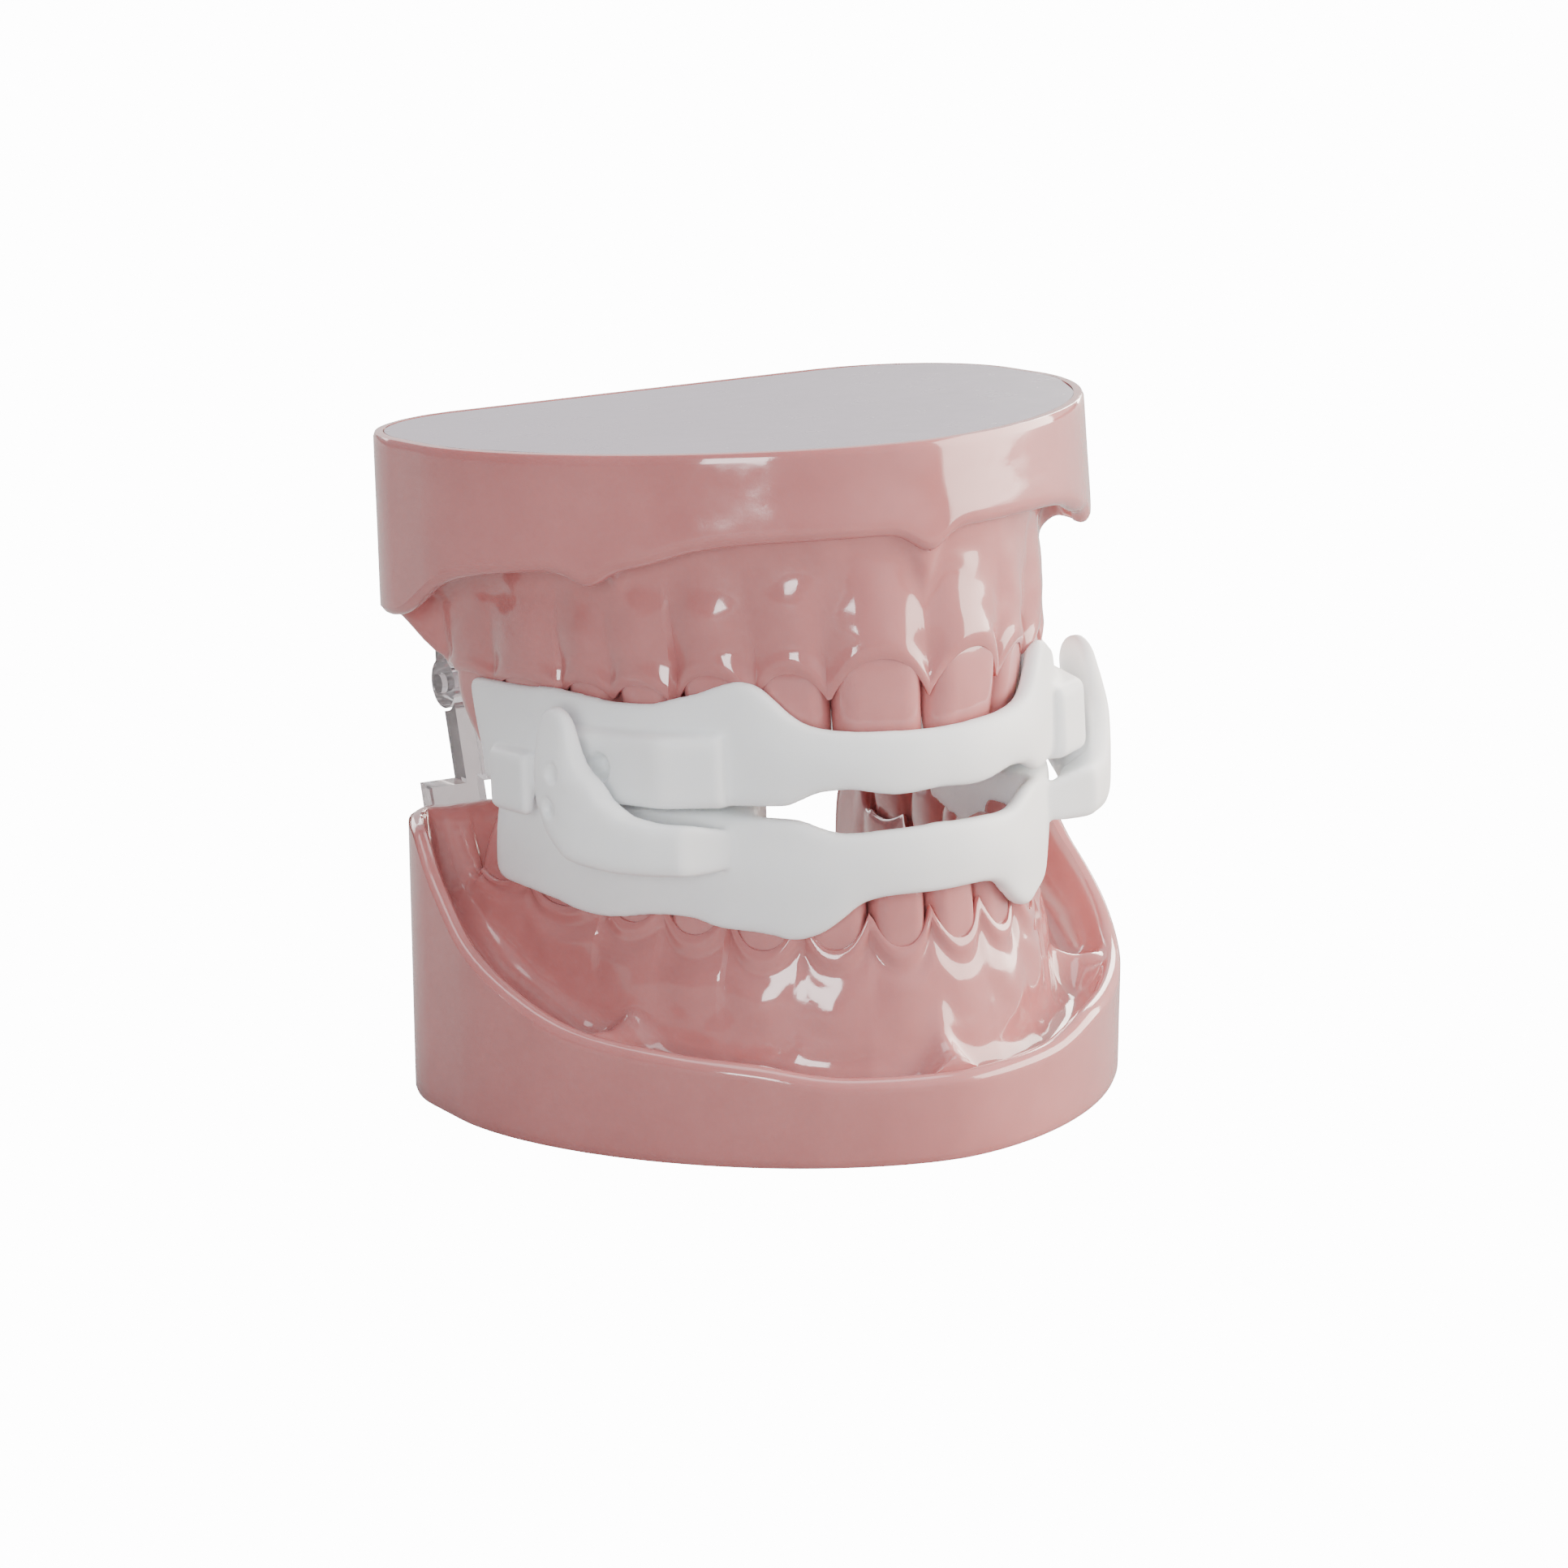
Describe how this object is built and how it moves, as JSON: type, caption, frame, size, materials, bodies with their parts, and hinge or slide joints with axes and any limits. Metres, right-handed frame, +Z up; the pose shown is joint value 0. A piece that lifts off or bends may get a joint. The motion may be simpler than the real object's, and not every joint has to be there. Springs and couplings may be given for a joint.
{
  "type": "typodont with splints",
  "caption": "Hinged pink upper and lower jaw model with removable teeth, wearing a white two-piece splint with cheek-side guide fins.",
  "frame": {"origin": "on the midline, in the flat resting face of the lower jaw, below the molars", "axes": "+Z up out of the resting face, incisors towards -Y, +X to the wearer's left"},
  "size_m": [0.0728, 0.069, 0.0706],
  "materials": {
    "gum_resin": "glossy cast resin",
    "tooth_resin": "glossy cast resin",
    "cover_plate": "polished flat sheet",
    "splint_nylon": "fine satin sintered nylon",
    "clear_hinge": "clear moulded acrylic",
    "steel": "plain steel"
  },
  "bodies": {
    "lower_jaw": {"lower_jaw_cast": "gum_resin", "lower_right_central_incisor": "tooth_resin", "lower_right_lateral_incisor": "tooth_resin", "lower_right_canine": "tooth_resin", "lower_right_first_premolar": "tooth_resin", "lower_right_second_premolar": "tooth_resin", "lower_right_first_molar": "tooth_resin", "lower_right_second_molar": "tooth_resin", "lower_left_central_incisor": "tooth_resin", "lower_left_lateral_incisor": "tooth_resin", "lower_left_canine": "tooth_resin", "lower_left_first_premolar": "tooth_resin", "lower_left_second_premolar": "tooth_resin", "lower_left_first_molar": "tooth_resin", "lower_left_second_molar": "tooth_resin", "lower_cover_plate": "cover_plate", "lower_tooth_screws": "steel", "lower_splint": "splint_nylon", "hinge_lower_leaf": "clear_hinge", "lower_hinge_screws": "steel", "hinge_pin": "clear_hinge"},
    "upper_jaw": {"upper_jaw_cast": "gum_resin", "upper_right_central_incisor": "tooth_resin", "upper_right_lateral_incisor": "tooth_resin", "upper_right_canine": "tooth_resin", "upper_right_first_premolar": "tooth_resin", "upper_right_second_premolar": "tooth_resin", "upper_right_first_molar": "tooth_resin", "upper_right_second_molar": "tooth_resin", "upper_left_central_incisor": "tooth_resin", "upper_left_lateral_incisor": "tooth_resin", "upper_left_canine": "tooth_resin", "upper_left_first_premolar": "tooth_resin", "upper_left_second_premolar": "tooth_resin", "upper_left_first_molar": "tooth_resin", "upper_left_second_molar": "tooth_resin", "upper_cover_plate": "cover_plate", "upper_tooth_screws": "steel", "upper_splint": "splint_nylon", "hinge_upper_leaf": "clear_hinge", "upper_hinge_screws": "steel"}
  },
  "joints": [
    {"name": "jaw_hinge", "type": "hinge", "parent": "lower_jaw", "child": "upper_jaw", "pos_m": [0, 0.0355, 0.038], "axis": [-1, 0, 0], "range_deg": [0, 90]}
  ]
}
